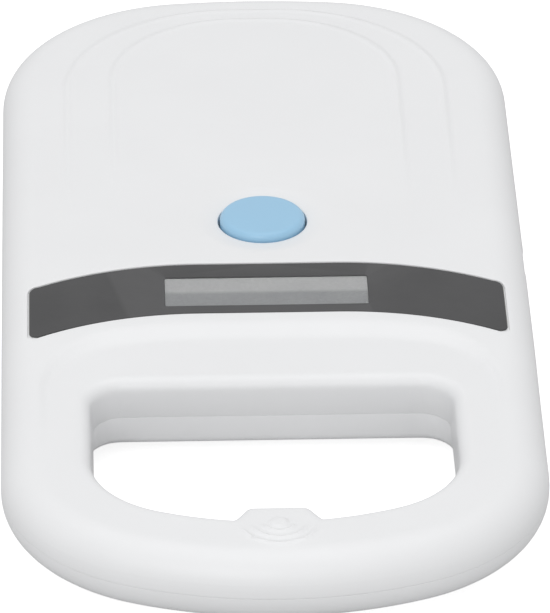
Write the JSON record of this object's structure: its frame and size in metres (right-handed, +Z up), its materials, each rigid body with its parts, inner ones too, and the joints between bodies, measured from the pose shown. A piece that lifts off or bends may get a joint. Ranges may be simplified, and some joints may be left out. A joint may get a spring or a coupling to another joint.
{
  "type": "microchip reader",
  "caption": "flat white handheld reader for animal microchips, with a loop antenna in its rounded head, a dark display band, a round sprung button and a ring-shaped handle",
  "frame": {"origin": "middle of the base, on the plane that the reader lies on", "axes": "+Y from the handle to the head, +Z up through the face with the button and display, +X to the right of someone who holds the handle"},
  "size_m": [0.076, 0.166, 0.0154],
  "materials": {
    "shell_white": "fine spark-eroded texture",
    "band_dark": "polished",
    "window_clear": "polished",
    "display_grey": "satin polariser",
    "button_blue": "satin",
    "diffuser_white": "satin",
    "plastic_black": "moulded",
    "rubber_grey": "matt",
    "foam_black": "open-cell foam",
    "tape_clear": "adhesive film",
    "board_green": "solder mask",
    "component_black": "epoxy moulded",
    "ceramic_tan": "fired ceramic",
    "steel": "zinc plated",
    "foil_silver": "laminated foil",
    "wire_red": "silicone insulation",
    "copper": "enamelled winding wire",
    "connector_white": "nylon"
  },
  "bodies": {
    "housing": {"upper_cover": "shell_white", "lower_cover": "shell_white", "display_bezel": "band_dark", "bezel_tape": "tape_clear", "display_window": "window_clear", "lcd_glass": "display_grey", "lcd_backlight": "diffuser_white", "lcd_frame": "plastic_black", "zebra_strip": "rubber_grey", "switch_body": "plastic_black", "main_board": "board_green", "reader_chip": "component_black", "microcontroller": "component_black", "crystal": "steel", "capacitors": "ceramic_tan", "buzzer": "plastic_black", "usb_socket": "steel", "battery_cell": "foil_silver", "battery_pads": "foam_black", "battery_socket": "connector_white", "battery_plug": "connector_white", "battery_lead": "wire_red", "antenna_former": "plastic_black", "antenna_coil": "copper", "coil_leads": "copper", "cover_screws": "steel", "board_screws": "steel"},
    "button": {"scan_button": "button_blue"},
    "plunger": {"switch_plunger": "diffuser_white"}
  },
  "joints": [
    {"name": "button_press", "type": "slide", "parent": "housing", "child": "button", "axis": [0, 0, -1], "range_m": [0, 0.0006], "stiffness_N_per_m": 2500},
    {"name": "plunger_press", "type": "slide", "parent": "housing", "child": "plunger", "axis": [0, 0, -1], "range_m": [0, 0.0009]}
  ],
  "couplings": [
    {"joint": "plunger_press", "follows": "button_press", "ratio": 1}
  ]
}
